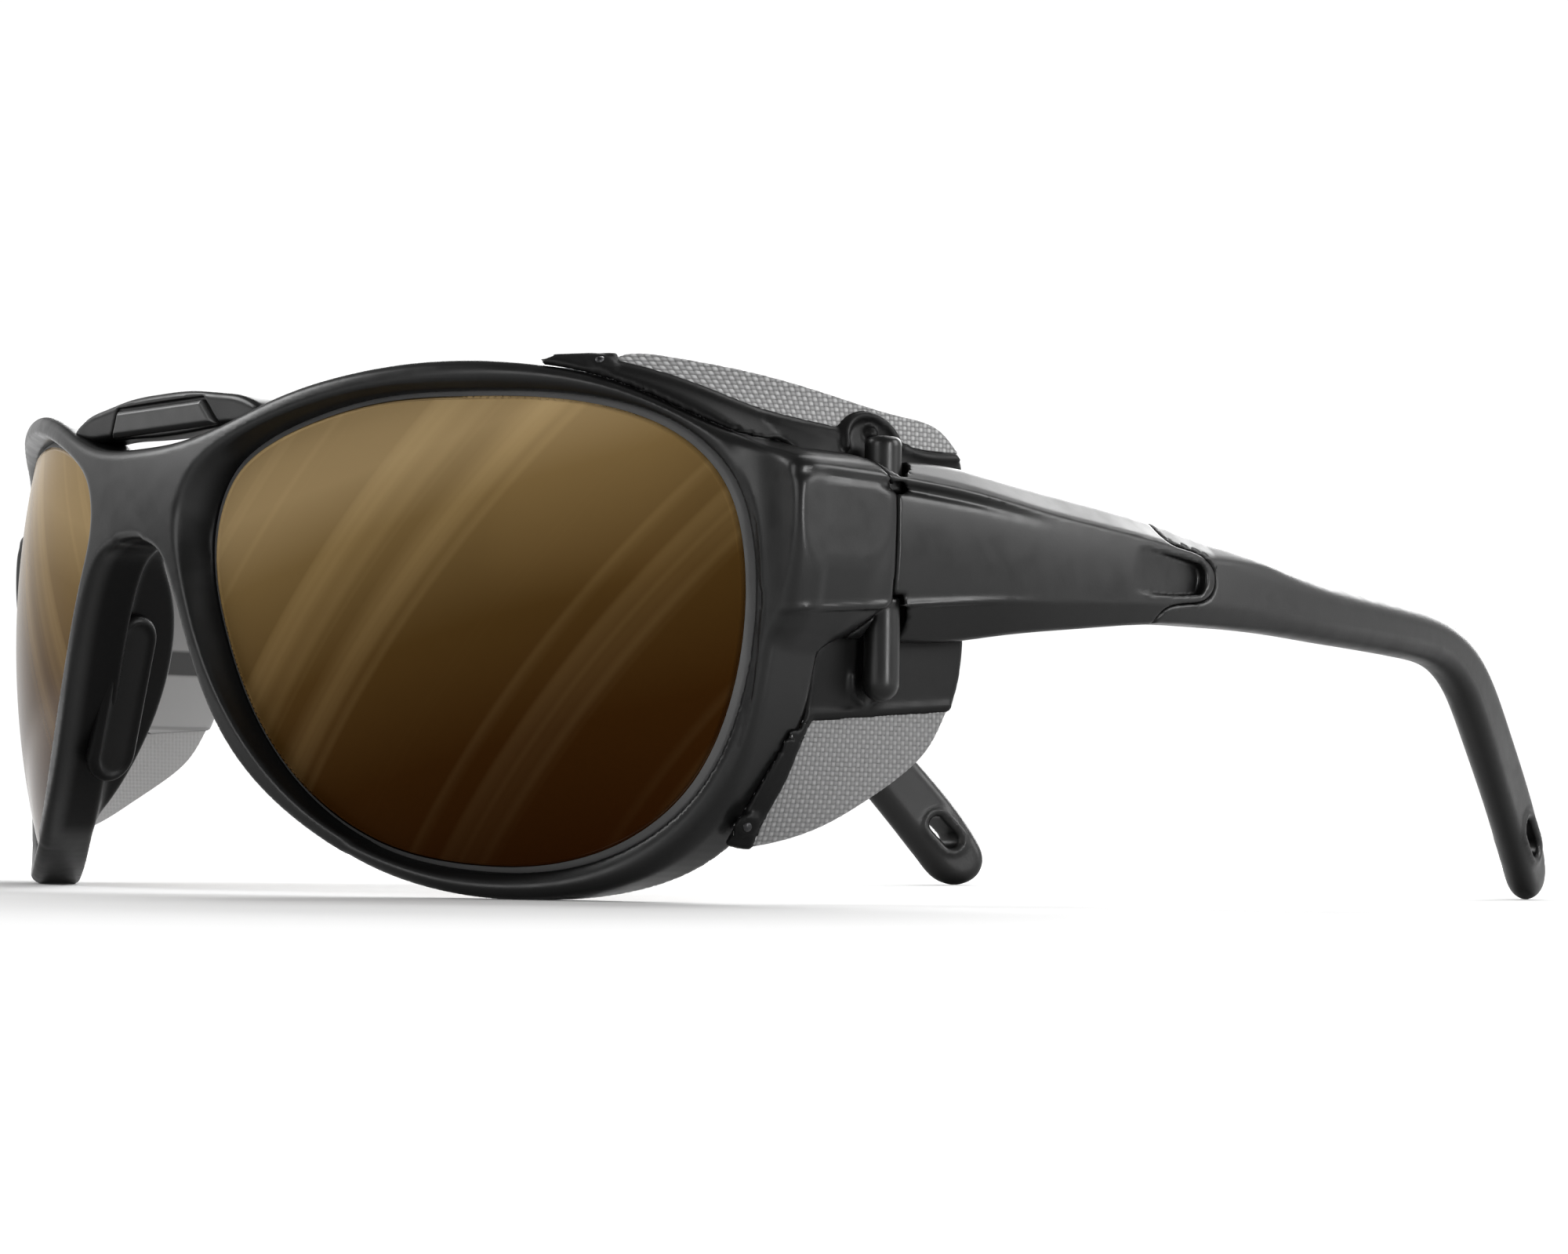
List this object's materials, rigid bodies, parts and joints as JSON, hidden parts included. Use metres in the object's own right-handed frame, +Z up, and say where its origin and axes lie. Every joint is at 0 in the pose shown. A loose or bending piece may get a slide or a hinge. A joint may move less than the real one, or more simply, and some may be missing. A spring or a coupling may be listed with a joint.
{
  "type": "glacier glasses",
  "caption": "Wrap-around glacier glasses with mirrored lenses, a brow bar, rubber nose pads, flexible woven side shields and folding temples with slotted rubber tips.",
  "frame": {"origin": "centre of the bounding box at its base, the surface the glasses stand on", "axes": "+X towards the wearer's left, +Y from the lenses back along the temples, +Z up"},
  "size_m": [0.1426, 0.164, 0.0514],
  "materials": {
    "frame": "satin black",
    "plate": "smooth, blank",
    "lens": "bronze mirror coating",
    "pad": "soft matte",
    "screw": "blackened",
    "arm": "satin charcoal",
    "tip": "matte charcoal",
    "core": "plain",
    "shield": "soft satin black",
    "weave": "grey woven"
  },
  "bodies": {
    "front": {"front_frame": "frame", "brow_bar": "frame", "brow_plate": "plate", "lens_left": "lens", "nose_pad_left": "pad", "hinge_screw_left": "screw", "side_shield_left": "shield", "shield_upper_panel_left": "weave", "shield_lower_panel_left": "weave", "shield_pegs_left": "frame", "lens_right": "lens", "nose_pad_right": "pad", "hinge_screw_right": "screw", "side_shield_right": "shield", "shield_upper_panel_right": "weave", "shield_lower_panel_right": "weave", "shield_pegs_right": "frame"},
    "temple_left": {"temple_arm_left": "arm", "temple_tip_left": "tip", "temple_core_left": "core"},
    "temple_right": {"temple_arm_right": "arm", "temple_tip_right": "tip", "temple_core_right": "core"}
  },
  "joints": [
    {"name": "temple_left_hinge", "type": "hinge", "parent": "front", "child": "temple_left", "pos_m": [0.0682, -0.04167, 0.0335], "axis": [0, 0, 1], "range_deg": [0, 83], "deforming": ["side_shield_left", "shield_upper_panel_left", "shield_lower_panel_left"]},
    {"name": "temple_right_hinge", "type": "hinge", "parent": "front", "child": "temple_right", "pos_m": [-0.0682, -0.04167, 0.0335], "axis": [0, 0, -1], "range_deg": [0, 76], "deforming": ["side_shield_right", "shield_upper_panel_right", "shield_lower_panel_right"]}
  ]
}
